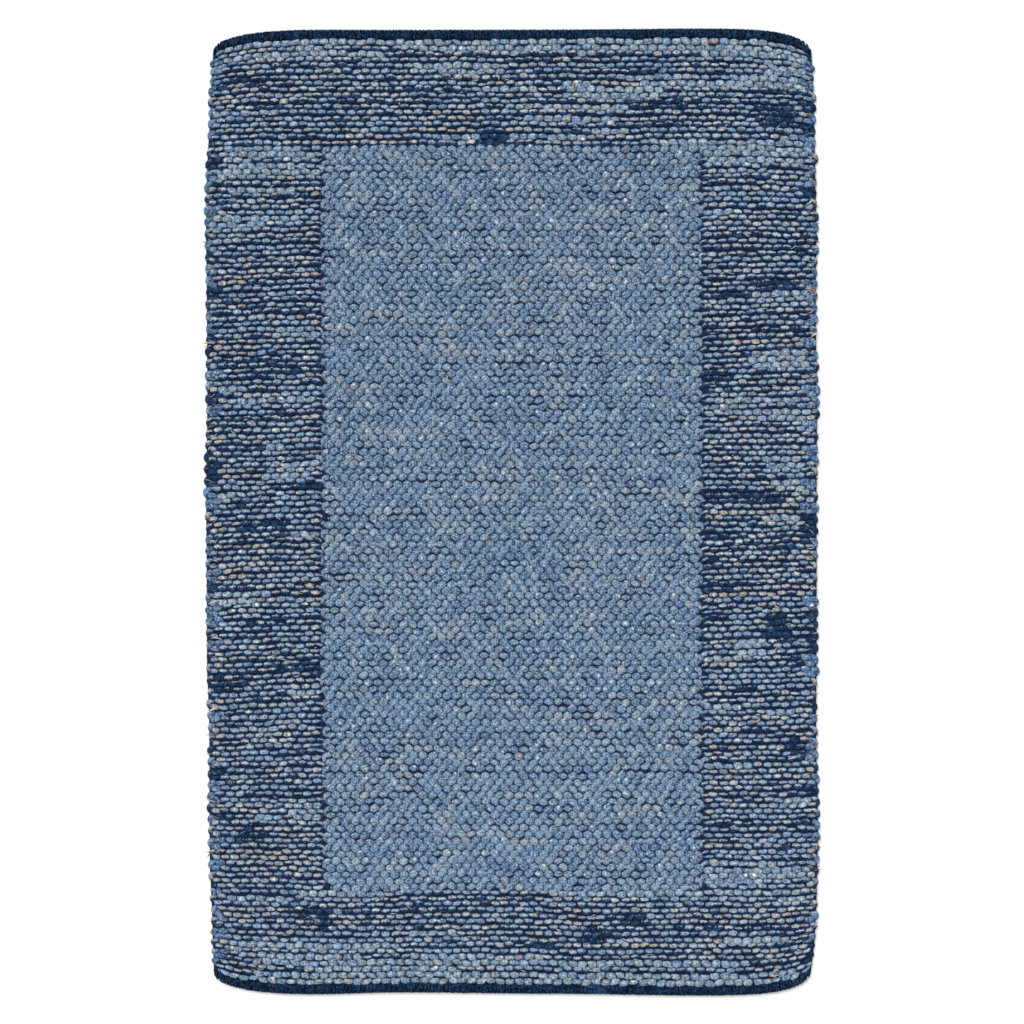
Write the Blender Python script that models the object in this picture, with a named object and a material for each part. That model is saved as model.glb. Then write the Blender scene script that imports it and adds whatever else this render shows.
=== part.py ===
"""A flat handwoven jute rug, with an oversewn binding along each end.

The cloth is woven in one piece: a plain pebbled field inside a striped border. Its weft lies across X in picks,
which show as ribs, and turns round the outer warps at both selvedges. Metres, +Z up, length along Y; the origin
is on the floor, under the middle of the rug.
"""

import math

import bmesh
import bpy

# Driving dimensions
WIDTH = 0.905
LENGTH = 1.422
THICKNESS = 0.011
RIB_RELIEF = 0.0016
CLEARANCE = 0.0003

# The picks: the border is beaten closer than the field, so more of them lie beside the same length of field
FAR_BAND_PICKS = 18
SIDE_PICKS = 127
NEAR_BAND_PICKS = 16
FIELD_PICKS = 113
WARP_PAIRS = 63
BORDER_WARP_PAIRS = 12

# The binding takes in the end of the cloth, which is pressed flat inside it
BINDING_WIDTH = 0.016
BINDING_HEIGHT = 0.0105
BINDING_WALL = 0.002
BINDING_ROUND = 0.0035
BINDING_STEPS = 40
TONGUE_LENGTH = 0.0125
TONGUE_LOW = BINDING_WALL + CLEARANCE
TONGUE_HIGH = BINDING_HEIGHT - BINDING_WALL - CLEARANCE

# Each corner droops: the end line falls away by the depth times a power of the share of the half width
LEFT_CORNER = {"depth": 0.024, "power": 10.0}
RIGHT_CORNER = {"depth": 0.026, "power": 14.0}
CORNER_REACH = 0.065

# How far each selvedge draws in from half the width, down the length of the rug
SELVEDGE_DRAW_IN = (
    # along Y, left, right
    (-0.71, 0.0125, 0.0115),
    (-0.61, 0.0097, 0.0033),
    (-0.52, 0.0063, 0.0014),
    (-0.45, 0.0055, 0.0002),
    (-0.32, 0.0054, 0.0036),
    (-0.22, 0.0018, 0.0027),
    (-0.10, 0.0016, 0.0025),
    (0.02, 0.0006, 0.0028),
    (0.16, 0.0024, 0.0019),
    (0.31, 0.0018, 0.0040),
    (0.42, 0.0003, 0.0027),
    (0.50, 0.0021, 0.0045),
    (0.60, 0.0068, 0.0066),
    (0.71, 0.0115, 0.0105),
)
EDGE_ROUND = 0.0032
TURN_BULGE = 0.0013
TURN_UNEVENNESS = ((0.5, 1.7), (0.4, 3.1))  # share of the bulge, and radians from one turn to the next

WOVEN_END = LENGTH / 2 - BINDING_WIDTH
PICK_PITCH = 2 * WOVEN_END / (FAR_BAND_PICKS + SIDE_PICKS + NEAR_BAND_PICKS)
FIELD_START = NEAR_BAND_PICKS * PICK_PITCH - WOVEN_END
FIELD_END = WOVEN_END - FAR_BAND_PICKS * PICK_PITCH

# Lines along the rug, as shares of the half width: the field, its join to the border, and the border out to the turn
JOIN_SHARE = 1 - 2 * BORDER_WARP_PAIRS / WARP_PAIRS
FIELD_SHARE = JOIN_SHARE - 0.02
TONGUE_SHARE = 0.99
CORNER_SHARES = (0.76, 0.86, 0.92, 0.96, TONGUE_SHARE)
BORDER_SHARES = (JOIN_SHARE, *CORNER_SHARES, 1.0)

CLOTH_COLOUR = (0.135, 0.215, 0.350, 1.0)
BINDING_COLOUR = (0.012, 0.022, 0.052, 1.0)


def material(name, colour, roughness):
    made = bpy.data.materials.new(name)
    made.use_nodes = True
    surface = made.node_tree.nodes["Principled BSDF"]
    surface.inputs["Base Color"].default_value = colour
    surface.inputs["Roughness"].default_value = roughness
    surface.inputs["Metallic"].default_value = 0.0
    made.diffuse_color = colour
    return made


def draw_in(along, column):
    """How far the left (column 1) or right (column 2) selvedge draws in at this place along the rug."""
    rows = SELVEDGE_DRAW_IN
    for lower, upper in zip(rows, rows[1:]):
        if along <= upper[0]:
            share = max(0.0, (along - lower[0]) / (upper[0] - lower[0]))
            eased = share * share * (3 - 2 * share)
            return lower[column] + (upper[column] - lower[column]) * eased
    return rows[-1][column]


def turn_bulge(along, side):
    """The weft turns round the outer warp once for two picks, each turn fuller or slacker than the next."""
    turn = along / (2 * PICK_PITCH) + 0.25 * side
    number = math.floor(turn)
    fullness = 1.0 + sum(share * math.sin(step * number + side) for share, step in TURN_UNEVENNESS)
    return TURN_BULGE * fullness * math.sin(math.pi * (turn - number))


def plan(across, along):
    """The place in plan of a point of the cloth: across is a share of the half width, along is from the middle."""
    left = across < 0
    x = across * (WIDTH / 2 - draw_in(along, 1 if left else 2))
    corner = LEFT_CORNER if left else RIGHT_CORNER
    droop = corner["depth"] * min(abs(across), 1.0) ** corner["power"]
    near_the_end = math.exp(-max(0.0, WOVEN_END - abs(along)) / CORNER_REACH)
    y = along - math.copysign(droop * near_the_end, along)
    return x, y


def rib_lines(start, end, picks):
    """A line for each valley between two picks and for each pick's crest, as places along the rug and heights."""
    lines = []
    for number in range(2 * picks + 1):
        relief = RIB_RELIEF if number % 2 == 0 else 0.0
        lines.append((start + (end - start) * number / (2 * picks), THICKNESS - relief))
    return lines


def put(mesh, point, height, inset=0.0):
    """Sets a point of the cloth at a height, drawn in from the selvedge if it lies on one."""
    across = point[mesh.verts.layers.float["across"]]
    along = point[mesh.verts.layers.float["along"]]
    x, y = plan(across, along)
    if abs(across) == 1.0:
        x -= math.copysign(inset, across)
    point.co = (x, y, height)


def add_ribbed_sheet(mesh, shares, lines):
    """A grid with a column of points for each share and a row of points for each rib line."""
    columns, rows = len(shares) - 1, len(lines) - 1
    made = bmesh.ops.create_grid(mesh, x_segments=columns, y_segments=rows, size=0.5)
    for point in made["verts"]:
        column = round((point.co.x + 0.5) * columns)
        along, height = lines[round((point.co.y + 0.5) * rows)]
        point[mesh.verts.layers.float["across"]] = shares[column]
        point[mesh.verts.layers.float["along"]] = along
        on_selvedge = abs(shares[column]) == 1.0
        put(mesh, point, height - RIB_RELIEF / 2 if on_selvedge else height, EDGE_ROUND)


def edges_along(mesh, share, start, end):
    """The edges of one column of points, between two places along the rug."""
    across, along = mesh.verts.layers.float["across"], mesh.verts.layers.float["along"]

    def on_line(point):
        return abs(point[across] - share) < 1e-6 and start - 1e-6 < point[along] < end + 1e-6

    return [edge for edge in mesh.edges if all(on_line(point) for point in edge.verts)]


def add_top(mesh):
    """The top of the cloth: a band at each end, the two side borders, and the field joined in between them."""
    right = list(BORDER_SHARES)
    left = [-share for share in reversed(right)]
    field = [-FIELD_SHARE, 0.0, FIELD_SHARE]
    across_all = left + field + right
    side_lines = rib_lines(FIELD_START, FIELD_END, SIDE_PICKS)
    add_ribbed_sheet(mesh, across_all, rib_lines(-WOVEN_END, FIELD_START, NEAR_BAND_PICKS))
    add_ribbed_sheet(mesh, across_all, rib_lines(FIELD_END, WOVEN_END, FAR_BAND_PICKS))
    add_ribbed_sheet(mesh, field, rib_lines(FIELD_START, FIELD_END, FIELD_PICKS))
    add_ribbed_sheet(mesh, left, side_lines)
    add_ribbed_sheet(mesh, right, side_lines)
    bmesh.ops.remove_doubles(mesh, verts=mesh.verts, dist=1e-6)
    for side in (-1, 1):
        join = edges_along(mesh, side * JOIN_SHARE, FIELD_START, FIELD_END)
        field_edge = edges_along(mesh, side * FIELD_SHARE, FIELD_START, FIELD_END)
        bmesh.ops.bridge_loops(mesh, edges=join + field_edge)
        for share in CORNER_SHARES:
            straight = edges_along(mesh, side * share, FIELD_START, FIELD_END)
            bmesh.ops.dissolve_edges(mesh, edges=straight, use_verts=True)
    bmesh.ops.recalc_face_normals(mesh, faces=mesh.faces)


def add_walls_and_base(mesh):
    """Round selvedges, upright ends and a flat base, down from the rim of the top."""
    along = mesh.verts.layers.float["along"]
    across = mesh.verts.layers.float["across"]
    rim = [edge for edge in mesh.edges if edge.is_boundary]
    for height, inset in ((TONGUE_HIGH, 0.0), (TONGUE_LOW, 0.0), (0.0, EDGE_ROUND)):
        made = bmesh.ops.extrude_edge_only(mesh, edges=rim)["geom"]
        rim = [part for part in made if isinstance(part, bmesh.types.BMEdge)]
        for point in {point for edge in rim for point in edge.verts}:
            side = math.copysign(1.0, point[across])
            bulge = 0.0 if inset else turn_bulge(point[along], side)
            put(mesh, point, height, inset - bulge)
    turns = [edge for edge in rim if all(abs(point[across]) == 1.0 for point in edge.verts)]
    bmesh.ops.bridge_loops(mesh, edges=turns)
    for end in (-1, 1):
        still_open = [edge for edge in mesh.edges if edge.is_boundary and edge.verts[0][along] * end > 0]
        bmesh.ops.contextual_create(mesh, geom=still_open)


def add_tongues(mesh):
    """The pressed ends of the cloth, drawn out from the middle of each end wall into the binding."""
    along = mesh.verts.layers.float["along"]
    across = mesh.verts.layers.float["across"]
    for end in (-1, 1):

        def in_tongue(point):
            at_end = abs(point[along] - end * WOVEN_END) < 1e-6
            level = TONGUE_LOW - 1e-6 < point.co.z < TONGUE_HIGH + 1e-6
            return at_end and level and abs(point[across]) < TONGUE_SHARE + 1e-6

        wall = [face for face in mesh.faces if all(in_tongue(point) for point in face.verts)]
        made = bmesh.ops.extrude_face_region(mesh, geom=wall)["geom"]
        bmesh.ops.delete(mesh, geom=wall, context="FACES")
        for point in (part for part in made if isinstance(part, bmesh.types.BMVert)):
            point[along] += end * TONGUE_LENGTH
            put(mesh, point, point.co.z)


def finish(mesh, name, look, collection):
    bmesh.ops.recalc_face_normals(mesh, faces=mesh.faces)
    data = bpy.data.meshes.new(name)
    mesh.to_mesh(data)
    mesh.free()
    data.materials.append(look)
    made = bpy.data.objects.new(name, data)
    collection.objects.link(made)
    data.shade_smooth()
    data.set_sharp_from_angle(angle=math.radians(50))
    return made


def new_mesh():
    mesh = bmesh.new()
    mesh.verts.layers.float.new("across")
    mesh.verts.layers.float.new("along")
    return mesh


def woven_cloth(look, collection):
    mesh = new_mesh()
    add_top(mesh)
    add_walls_and_base(mesh)
    add_tongues(mesh)
    return finish(mesh, "woven_cloth", look, collection)


def channel_profile():
    """The binding's section: out from the cloth's end, and up. It is a round-backed channel over the tongue."""
    lip, slot_end, back = CLEARANCE, TONGUE_LENGTH + CLEARANCE, BINDING_WIDTH
    corner = BINDING_ROUND
    upper, lower = [], []
    for turn in range(90, -1, -30):
        out = back - corner + corner * math.cos(math.radians(turn))
        rise = corner * math.sin(math.radians(turn))
        upper.append((out, BINDING_HEIGHT - corner + rise))
        lower.append((out, corner - rise))
    slot = [(lip, BINDING_WALL), (slot_end, BINDING_WALL)]
    slot += [(slot_end, BINDING_HEIGHT - BINDING_WALL), (lip, BINDING_HEIGHT - BINDING_WALL)]
    return [(lip, BINDING_HEIGHT), *upper, *reversed(lower), (lip, 0.0), *slot]


def end_binding(name, end, look, collection):
    """The overcast yarn round one end: its section drawn across the rug in steps, closer together at the corners."""
    mesh = new_mesh()
    across, along = mesh.verts.layers.float["across"], mesh.verts.layers.float["along"]
    for out, height in channel_profile():
        point = mesh.verts.new()
        point[across], point[along] = -TONGUE_SHARE, end * (WOVEN_END + out)
        put(mesh, point, height)
    section = [mesh.faces.new(mesh.verts)]
    for step in range(1, BINDING_STEPS + 1):
        share = -TONGUE_SHARE * math.cos(math.pi * step / BINDING_STEPS)
        made = bmesh.ops.extrude_face_region(mesh, geom=section)["geom"]
        if step > 1:
            bmesh.ops.delete(mesh, geom=section, context="FACES_ONLY")
        section = [part for part in made if isinstance(part, bmesh.types.BMFace)]
        for point in (part for part in made if isinstance(part, bmesh.types.BMVert)):
            point[across] = share
            put(mesh, point, point.co.z)
    return finish(mesh, name, look, collection)


def centre_on_origin(objects):
    """The uneven outline is moved in plan so that its box is centred on the origin."""
    points = [point.co for made in objects for point in made.data.vertices]
    for axis in (0, 1):
        middle = (min(co[axis] for co in points) + max(co[axis] for co in points)) / 2
        for co in points:
            co[axis] -= middle


def main():
    for old in list(bpy.data.objects):
        bpy.data.objects.remove(old)
    rug = bpy.data.collections.new("jute_rug")
    bpy.context.scene.collection.children.link(rug)
    cloth_look = material("dyed_jute", CLOTH_COLOUR, 0.9)
    binding_look = material("navy_overcast_yarn", BINDING_COLOUR, 0.85)
    cloth = woven_cloth(cloth_look, rug)
    far = end_binding("far_end_binding", 1, binding_look, rug)
    near = end_binding("near_end_binding", -1, binding_look, rug)
    centre_on_origin([cloth, far, near])


main()
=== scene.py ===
# Dresses the flat handwoven jute rug: every weft yarn, the warps in it, the overcast ends and the loose ends.
# Metres, +Z up, length along Y, underside on the floor. The rug is woven straight and then laid: lie() draws
# in its selvedges and lets its corners droop, so every yarn is first placed on the straight cloth.

import math

import bmesh
import bpy
import numpy as np
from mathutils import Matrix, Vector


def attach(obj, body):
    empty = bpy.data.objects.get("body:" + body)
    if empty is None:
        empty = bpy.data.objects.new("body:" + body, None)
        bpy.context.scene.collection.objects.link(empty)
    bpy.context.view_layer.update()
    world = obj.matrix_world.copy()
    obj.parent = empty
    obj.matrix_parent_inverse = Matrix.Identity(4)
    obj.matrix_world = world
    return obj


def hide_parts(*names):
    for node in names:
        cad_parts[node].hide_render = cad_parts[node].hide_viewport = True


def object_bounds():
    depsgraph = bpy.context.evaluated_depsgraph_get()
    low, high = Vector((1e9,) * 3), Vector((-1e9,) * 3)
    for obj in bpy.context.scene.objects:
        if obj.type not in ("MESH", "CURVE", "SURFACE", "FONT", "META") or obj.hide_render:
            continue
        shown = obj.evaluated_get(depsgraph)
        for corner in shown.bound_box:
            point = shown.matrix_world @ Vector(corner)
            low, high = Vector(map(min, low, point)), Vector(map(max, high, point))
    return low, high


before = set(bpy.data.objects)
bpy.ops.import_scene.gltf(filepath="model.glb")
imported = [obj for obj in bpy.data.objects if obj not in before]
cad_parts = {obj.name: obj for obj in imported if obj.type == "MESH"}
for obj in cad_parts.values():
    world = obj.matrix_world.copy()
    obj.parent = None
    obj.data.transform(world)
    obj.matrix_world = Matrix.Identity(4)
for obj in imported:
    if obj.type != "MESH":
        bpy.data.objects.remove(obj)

cad_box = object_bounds()

# ----------------------------------------------------------------------------------------------------------
# The warps. 126 strong navy cords lie side by side along the rug, and all its other yarn is woven round them.
# They hardly show, but they close the cloth between its wefts. They are drawn wide and flat, as the weft
# presses them. The whole rug is one sheet of cloth.

WARPS = 126
WARP_HALF_WIDTH = 0.0036
WARP_HALF_HEIGHT = 0.0011
WARP_SIDES = 6
WARP_RINGS = 25
WARP_TAIL = 0.010  # how far the warps run on into the bindings
OUTER_WARP_INSET = 0.0014  # the weft's turns pull the outer warps in
WARP_GRAIN = (500, 6, 1)  # its twist: a fibre each 2 mm along the cord, and six round it
NAVY = "#16233F"

HALF_WIDTH = (cad_box[1].x - cad_box[0].x) / 2
HALF_LENGTH = (cad_box[1].y - cad_box[0].y) / 2
THICKNESS = cad_box[1].z - cad_box[0].z
MIDDLE = THICKNESS / 2
BINDING_WIDTH = 0.016
WOVEN_END = HALF_LENGTH - BINDING_WIDTH
WARP_SPACING = 2 * HALF_WIDTH / WARPS

# How far each selvedge draws in from half the width, down the length of the rug
SELVEDGE_DRAW_IN = (
    # along Y, left, right
    (-0.71, 0.0125, 0.0115),
    (-0.61, 0.0097, 0.0033),
    (-0.52, 0.0063, 0.0014),
    (-0.45, 0.0055, 0.0002),
    (-0.32, 0.0054, 0.0036),
    (-0.22, 0.0018, 0.0027),
    (-0.10, 0.0016, 0.0025),
    (0.02, 0.0006, 0.0028),
    (0.16, 0.0024, 0.0019),
    (0.31, 0.0018, 0.0040),
    (0.42, 0.0003, 0.0027),
    (0.50, 0.0021, 0.0045),
    (0.60, 0.0068, 0.0066),
    (0.71, 0.0115, 0.0105),
)
# How far inside its straight line each end lies, across the rug
END_HOLLOW = (
    # share of the half width, near end, far end
    (-1.00, 0.0000, 0.0000),
    (-0.70, 0.0000, 0.0003),
    (-0.38, 0.0034, 0.0008),
    (0.10, 0.0015, 0.0004),
    (0.65, -0.0013, -0.0013),
    (1.00, 0.0000, 0.0000),
)
# The ends droop towards the corners by the depth times a power of how far out a point is, and this far in
LEFT_CORNER = {"depth": 0.024, "power": 10.0}
RIGHT_CORNER = {"depth": 0.026, "power": 14.0}
CORNER_REACH = 0.065


def eased(value, table, column):
    """A smooth curve through one column of a table, read at the places in its first column."""
    places = np.array([row[0] for row in table])
    levels = np.array([row[column] for row in table])
    below = np.clip(np.searchsorted(places, value) - 1, 0, len(places) - 2)
    share = np.clip((value - places[below]) / (places[below + 1] - places[below]), 0, 1)
    return levels[below] + (levels[below + 1] - levels[below]) * share**2 * (3 - 2 * share)


def lie(points):
    """Lays points of the straight cloth: its selvedges draw in, and its end lines droop to the corners."""
    x, y, z = points[..., 0], points[..., 1], points[..., 2]
    share = x / HALF_WIDTH
    left = share < 0
    drawn = np.where(left, eased(y, SELVEDGE_DRAW_IN, 1), eased(y, SELVEDGE_DRAW_IN, 2))
    depth = np.where(left, LEFT_CORNER["depth"], RIGHT_CORNER["depth"])
    power = np.where(left, LEFT_CORNER["power"], RIGHT_CORNER["power"])
    hollow = np.where(y < 0, eased(share, END_HOLLOW, 1), eased(share, END_HOLLOW, 2))
    inward = depth * np.minimum(np.abs(share), 1.0) ** power + hollow
    near_the_end = np.exp(-np.maximum(0.0, WOVEN_END - np.abs(y)) / CORNER_REACH)
    laid_x = share * (HALF_WIDTH - drawn)
    laid_y = y - np.sign(y) * inward * near_the_end
    return np.stack([laid_x, laid_y, z], axis=-1)


def spun(name, strands, attributes=None):
    """Closed tubes of yarn as one object. A strand is an array of rings, points round each ring, and x, y, z.

    The UV map "yarn" runs in metres along a strand, and from 0 to 1 round it. An attribute has a value, or a
    colour, for each ring and point of each strand.
    """
    attributes = attributes or {}
    mesh = bmesh.new()
    for strand in strands:
        rings, sides = strand.shape[:2]
        bmesh.ops.create_grid(mesh, x_segments=sides, y_segments=rings - 1, size=0.5)
    data = bpy.data.meshes.new(name)
    mesh.to_mesh(data)
    mesh.free()

    def closed_round(values):
        return np.concatenate([values, values[:, :1]], axis=1).reshape(-1, *values.shape[2:])

    places = np.concatenate([closed_round(strand) for strand in strands])
    data.vertices.foreach_set("co", places.ravel().astype(np.float32))
    along, seams = [], []
    for strand in strands:
        rings, sides = strand.shape[:2]
        steps = np.linalg.norm(np.diff(strand.mean(axis=1), axis=0), axis=1)
        length = np.concatenate([[0.0], np.cumsum(steps)])
        girth = np.linspace(0, 1, sides + 1)
        along.append(np.stack(np.broadcast_arrays(length[:, None], girth), axis=-1).reshape(-1, 2))
        seam = np.zeros((rings, sides + 1), dtype=bool)
        seam[:, [0, -1]] = True
        seams.append(seam.ravel())
    corners = np.empty(len(data.loops), dtype=np.int32)
    data.loops.foreach_get("vertex_index", corners)
    yarn_map = data.uv_layers.new(name="yarn")
    yarn_map.data.foreach_set("uv", np.concatenate(along)[corners].ravel().astype(np.float32))
    for title, values in attributes.items():
        values = np.concatenate([closed_round(value) for value in values])
        if values.ndim == 2:
            values = np.concatenate([values, np.ones((len(values), 1))], axis=1)
            made = data.attributes.new(title, "FLOAT_COLOR", "POINT")
            made.data.foreach_set("color", values.ravel().astype(np.float32))
        else:
            made = data.attributes.new(title, "FLOAT", "POINT")
            made.data.foreach_set("value", values.astype(np.float32))
    on_seam = np.concatenate(seams)
    mesh = bmesh.new()
    mesh.from_mesh(data)
    mesh.verts.ensure_lookup_table()
    seam_points = [mesh.verts[number] for number in np.flatnonzero(on_seam)]
    bmesh.ops.remove_doubles(mesh, verts=seam_points, dist=1e-7)
    bmesh.ops.holes_fill(mesh, edges=[edge for edge in mesh.edges if edge.is_boundary], sides=0)
    bmesh.ops.recalc_face_normals(mesh, faces=mesh.faces)
    mesh.to_mesh(data)
    mesh.free()
    data.shade_smooth()
    piece = bpy.data.objects.new(name, data)
    bpy.context.scene.collection.objects.link(piece)
    return piece


def linear(hex_colour):
    """A linear RGBA colour from an sRGB hex value."""
    parts = [int(hex_colour[start : start + 2], 16) / 255 for start in (1, 3, 5)]
    return [part / 12.92 if part <= 0.04045 else ((part + 0.055) / 1.055) ** 2.4 for part in parts] + [1.0]


def node(tree, kind, settings, inputs):
    """Adds a node with its settings. An input is given by name or number, as a value or a node's output."""
    made = tree.nodes.new(kind)
    for title, value in settings.items():
        setattr(made, title, value)
    for title, value in inputs.items():
        if isinstance(value, bpy.types.NodeSocket):
            tree.links.new(value, made.inputs[title])
        else:
            made.inputs[title].default_value = value
    return made


def mapped(tree, value, *limits, **settings):
    """A value spread from the first two limits to the last two, or to 0 and 1."""
    spread = {"Value": value} | dict(enumerate(limits, start=1))
    return node(tree, "ShaderNodeMapRange", settings, spread).outputs[0]


def blended(tree, share, first, second):
    """One colour that goes over into a second."""
    colours = {0: share, 6: first, 7: second}
    return node(tree, "ShaderNodeMix", {"data_type": "RGBA"}, colours).outputs[2]


def lit(tree, colour, light):
    """A colour made lighter or darker."""
    return node(tree, "ShaderNodeVectorMath", {"operation": "SCALE"}, {0: colour, "Scale": light}).outputs[0]


def worked_out(tree, operation, *values):
    return node(tree, "ShaderNodeMath", {"operation": operation}, dict(enumerate(values))).outputs[0]


def attribute(tree, title):
    return node(tree, "ShaderNodeAttribute", {"attribute_name": title}, {})


def yarn_grain(tree, scale, **inputs):
    """Noise drawn out along a yarn."""
    place = node(tree, "ShaderNodeUVMap", {"uv_map": "yarn"}, {})
    drawn_out = node(tree, "ShaderNodeMapping", {}, {"Vector": place.outputs[0], "Scale": scale})
    grain = {"Vector": drawn_out.outputs[0], "Scale": 1.0} | inputs
    return node(tree, "ShaderNodeTexNoise", {}, grain).outputs[0]


def raised(tree, shader, height, strength, distance):
    """Gives the shader a bump."""
    bump = node(tree, "ShaderNodeBump", {}, {"Height": height, "Strength": strength, "Distance": distance})
    tree.links.new(bump.outputs[0], shader.inputs["Normal"])


def new_material(name):
    """An empty Principled material: the material, its node tree and the shader."""
    material = bpy.data.materials.new(name)
    material.use_nodes = True
    return material, material.node_tree, material.node_tree.nodes["Principled BSDF"]


def warp_cords():
    turn = np.linspace(0, 2 * math.pi, WARP_SIDES, endpoint=False)
    y = np.linspace(-WOVEN_END - WARP_TAIL, WOVEN_END + WARP_TAIL, WARP_RINGS)
    height = MIDDLE + WARP_HALF_HEIGHT * np.sin(turn)
    strands = []
    for number in range(WARPS):
        x = (number + 0.5) * WARP_SPACING - HALF_WIDTH
        if number in (0, WARPS - 1):
            x -= math.copysign(OUTER_WARP_INSET, x)
        ring = np.stack([x + WARP_HALF_WIDTH * np.cos(turn), 0 * turn, height], axis=-1)
        strand = np.repeat(ring[None], WARP_RINGS, axis=0)
        strand[..., 1] = y[:, None]
        strands.append(lie(strand))
    return spun("warps", strands)


# Hard-twisted dyed cord: matt, nearly black between the wefts, with its twist just raised.
def warp_material():
    material, tree, shader = new_material("dyed_warp_cord")
    raised(tree, shader, yarn_grain(tree, WARP_GRAIN), 0.4, 0.0004)
    shader.inputs["Base Color"].default_value = linear(NAVY)
    shader.inputs["Roughness"].default_value = 0.95
    shader.inputs["Specular IOR Level"].default_value = 0.2
    return material


warps = warp_cords()
warps.data.materials.append(warp_material())
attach(warps, "root")
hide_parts("woven_cloth")

# ----------------------------------------------------------------------------------------------------------
# The border's weft. A pale space-dyed jute ply and a navy one go through the shed together, pale above
# navy, so each pick shows as a row of pale pebbles over a navy line. One yarn runs to and fro round the
# outer warps. It makes the bands across both ends and the strip down each side.

FAR_BAND_PICKS = 18
SIDE_PICKS = 127
NEAR_BAND_PICKS = 16
BORDER_WARPS = 24
PICK_PITCH = 2 * WOVEN_END / (FAR_BAND_PICKS + SIDE_PICKS + NEAR_BAND_PICKS)
FIELD_START = NEAR_BAND_PICKS * PICK_PITCH - WOVEN_END
FIELD_END = WOVEN_END - FAR_BAND_PICKS * PICK_PITCH

# Rings of the weft over and under a warp, from a pebble's top to the slit beside it: how far each is from
# the pebble's warp, how high the yarn's middle rises and half its height. Then a crossing, a turn's sides
# and its apex.
CROWN, SHOULDER, PEBBLE_END, SLIT, CROSSING, TURN_START, TURN_SIDE, TURN_APEX = range(8)
PLACE_OVER = 0.42
PLACE_UNDER = 0.17
RINGS_PER_WARP = 3
BORDER_RISE = np.array([0.00225, 0.0011, -0.0005, -0.0022, 0.0, 0.0, 0.0, 0.0])
RING_HALF_HEIGHT = np.array([0.00325, 0.0048, 0.0040, 0.0033, 0.0046, 0.0034, 0.0040, 0.0044])
TURN_BENDS = (30, 60, 90, 120, 150)  # how far round its turn each of a turn's rings is, in degrees
TURN_LEVELS = np.array([0.9, 0.75, 0.3, -0.3, -0.7])  # and how high it is, as a share of the turn's rise
TURN_RISE = 0.0021
TURN_DEPTH = 0.42
SELVEDGE_TURN = 0.04  # how far past its warp's middle a turn goes, as a share of the warp spacing
JOIN_TURN = 0.38
JOIN_SLIMNESS = 0.68

BORDER_HALF_WIDTH = np.array([0.0048, 0.0048, 0.0045, 0.0030, 0.0042, 0.0042, 0.0046, 0.0047])
# Round a ring from its left edge over the top: the pale ply, the groove, the navy ply, and back under
TWO_PLY_RING = np.array(
    [(1.0, 0.0), (0.46, 1.0), (-0.30, 0.62), (-0.66, 0.62), (-1.0, -0.05), (-0.55, -0.90), (0.55, -0.90)]
)
NAVY_PLY = np.array([0.0, 0.0, 0.45, 1.0, 1.0, 1.0, 0.0])
# The navy ply also closes over a pale pebble's ends and slits. Rows for the rug's upper and under sides.
NAVY_BY_RING = np.array(
    [(0.0, 0.0, 0.03, 1.0, 0.1, 0.05, 0.1, 0.1), (1.0, 0.03, 0.0, 0.0, 0.1, 0.05, 0.1, 0.1)]
)
UNDERSIDE = np.array([0, 0, 0, 0, 0, 1, 1])
ROUND_RING = np.array(
    [(1.0, 0.0), (0.74, 0.74), (0.0, 1.0), (-0.74, 0.74), (-1.0, 0.0), (-0.55, -0.88), (0.55, -0.88)]
)
MIRRORED = [4, 3, 2, 1, 0, 6, 5]
YARN_END_TAPER = 0.4
FLOOR_GAP = 0.00005  # no yarn goes lower than this
# Painted shade: a yarn pressed in below the first share of its height starts to be painted darker, fully so
# after the second
PAINTED_SHADE_BELOW = 0.90
PAINTED_SHADE_OVER = 0.70
TURN_PAINTED_SHADE = 0.45  # a turn lies open at its side, so it is only as dark as this

# How uneven the hand weaving is. A bridge is a weft that rides high in the slit beside a pebble, a starved
# pebble is of thin yarn, and a slub is a thick or thin length of it. Drifts are a size, a reach and a seed.
SELVEDGE_WARPS = 4
BRIDGED_AT_SELVEDGE = 0.22
BRIDGED_INSIDE = 0.05
BRIDGE_RISE = 0.0021
STARVED_SHARE = 0.07
STARVED_FULLNESS = 0.72
SLUB_PEBBLES = 7
SLUB_FULLNESS = 0.07
PEBBLE_FULLNESS = 0.10
RING_FULLNESS = 0.05
MOST_UNEVEN = 2.2
PEBBLE_SHIFT_ACROSS = 0.0006
PEBBLE_SHIFT_ALONG = 0.0007
ROW_WANDER = 0.0005
LOOP_AT_JOIN = 0.0004
LOOP_AT_RIGHT = 0.0011
LOOP_AT_LEFT = 0.0007
SLANT = 0.08
SLANT_SPREAD = 0.32
DRIFTS_ACROSS = ((0.0011, 0.16, 11), (0.0006, 0.04, 12))
DRIFTS_ALONG = ((0.0014, 0.20, 13), (0.0008, 0.045, 14))
DRIFT_WAVES = 6
WAVE_LENGTHS = (0.7, 1.6)  # as shares of the reach
WAVES_COME_TO = 3.5


def drift(x, y, reach, seed):
    """A smooth unevenness from -1 to 1 over the cloth, which changes over about this reach."""
    chance = np.random.default_rng(seed)
    total = 0.0
    for _ in range(DRIFT_WAVES):
        angle, phase = chance.uniform(0, 2 * math.pi, 2)
        wave = reach * chance.uniform(*WAVE_LENGTHS)
        total = total + np.sin(2 * math.pi * (x * math.cos(angle) + y * math.sin(angle)) / wave + phase)
    return total / WAVES_COME_TO


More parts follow.
